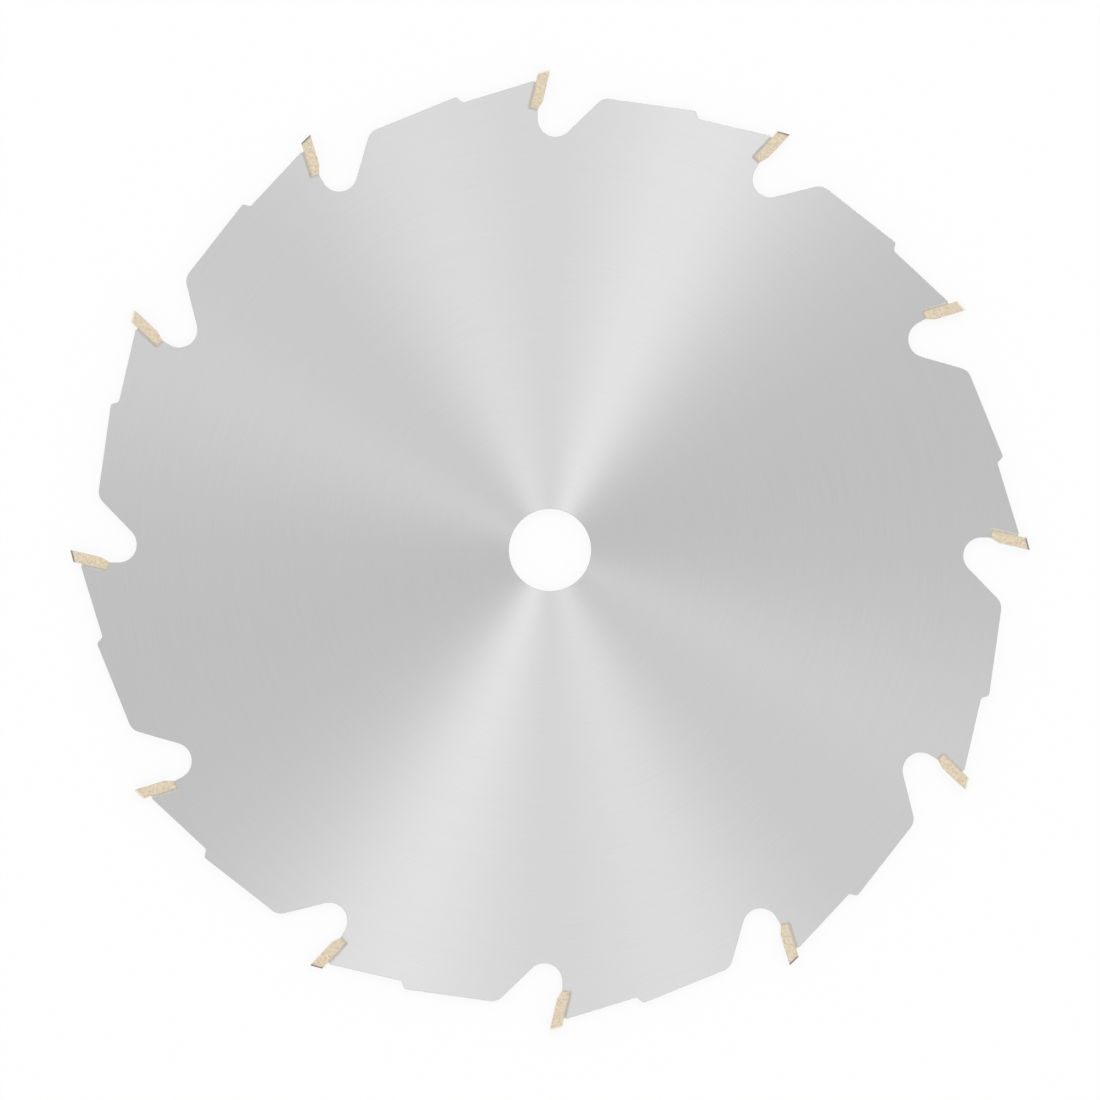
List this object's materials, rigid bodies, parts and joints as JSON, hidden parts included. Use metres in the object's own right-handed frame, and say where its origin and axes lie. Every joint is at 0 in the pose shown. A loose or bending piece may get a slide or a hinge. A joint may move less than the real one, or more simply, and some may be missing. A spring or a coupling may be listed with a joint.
{
  "type": "tct circular saw blade",
  "caption": "Flat round steel saw blade with a plain arbor bore, wide gullets, chip limiters and brazed carbide tips ground to alternate top bevels.",
  "frame": {"origin": "centre of the arbor bore, at the middle of the plate's thickness", "axes": "+Z along the arbor axis, towards the side from which the blade turns clockwise; +Y through the cutting edge of tooth 1, +X to its right"},
  "size_m": [0.185, 0.185, 0.0024],
  "materials": {
    "plate_steel": "circular ground satin",
    "carbide": "matt sintered, fine grain, ground edges",
    "braze": "dull silver solder"
  },
  "bodies": {
    "root": {"blade_body": "plate_steel", "carbide_tip_01": "carbide", "carbide_tip_02": "carbide", "carbide_tip_03": "carbide", "carbide_tip_04": "carbide", "carbide_tip_05": "carbide", "carbide_tip_06": "carbide", "carbide_tip_07": "carbide", "carbide_tip_08": "carbide", "carbide_tip_09": "carbide", "carbide_tip_10": "carbide", "carbide_tip_11": "carbide", "carbide_tip_12": "carbide", "braze_film_01": "braze", "braze_film_02": "braze", "braze_film_03": "braze", "braze_film_04": "braze", "braze_film_05": "braze", "braze_film_06": "braze", "braze_film_07": "braze", "braze_film_08": "braze", "braze_film_09": "braze", "braze_film_10": "braze", "braze_film_11": "braze", "braze_film_12": "braze"}
  },
  "joints": []
}
